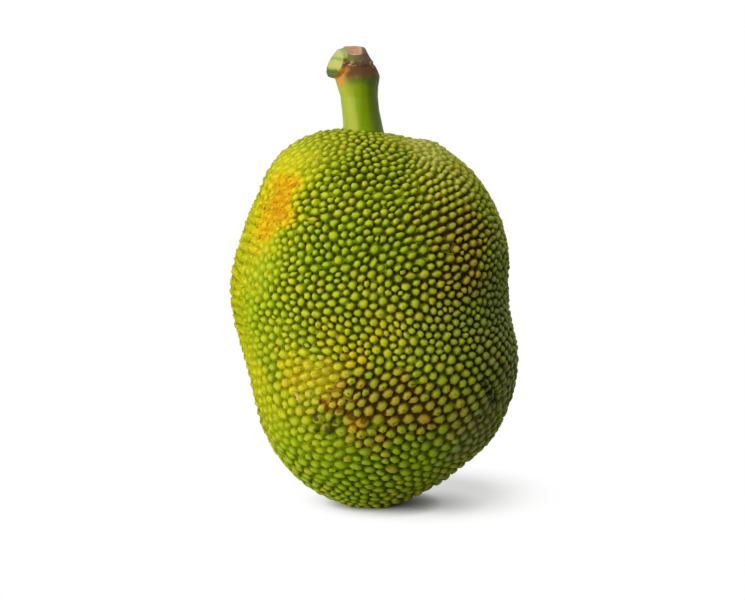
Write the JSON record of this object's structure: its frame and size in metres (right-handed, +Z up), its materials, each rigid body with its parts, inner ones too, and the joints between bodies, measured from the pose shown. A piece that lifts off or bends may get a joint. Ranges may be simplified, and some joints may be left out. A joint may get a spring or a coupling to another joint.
{
  "type": "jackfruit",
  "caption": "Whole ripe jackfruit standing upright: lopsided oval body under a rind of blunt knobs, with a thick cut stalk on top.",
  "frame": {"origin": "middle of the base of the bounding box, on the surface that the fruit stands on", "axes": "+Z up through the fruit towards the stalk, -Y towards the front view, +X to the right of that view"},
  "size_m": [0.2274, 0.214, 0.3658],
  "materials": {
    "rind": "waxy satin, yellow-green with brown valleys",
    "stalk": "smooth green bark, corky brown at the cut knuckle"
  },
  "bodies": {
    "root": {"fruit": "rind", "stalk": "stalk"}
  },
  "joints": []
}
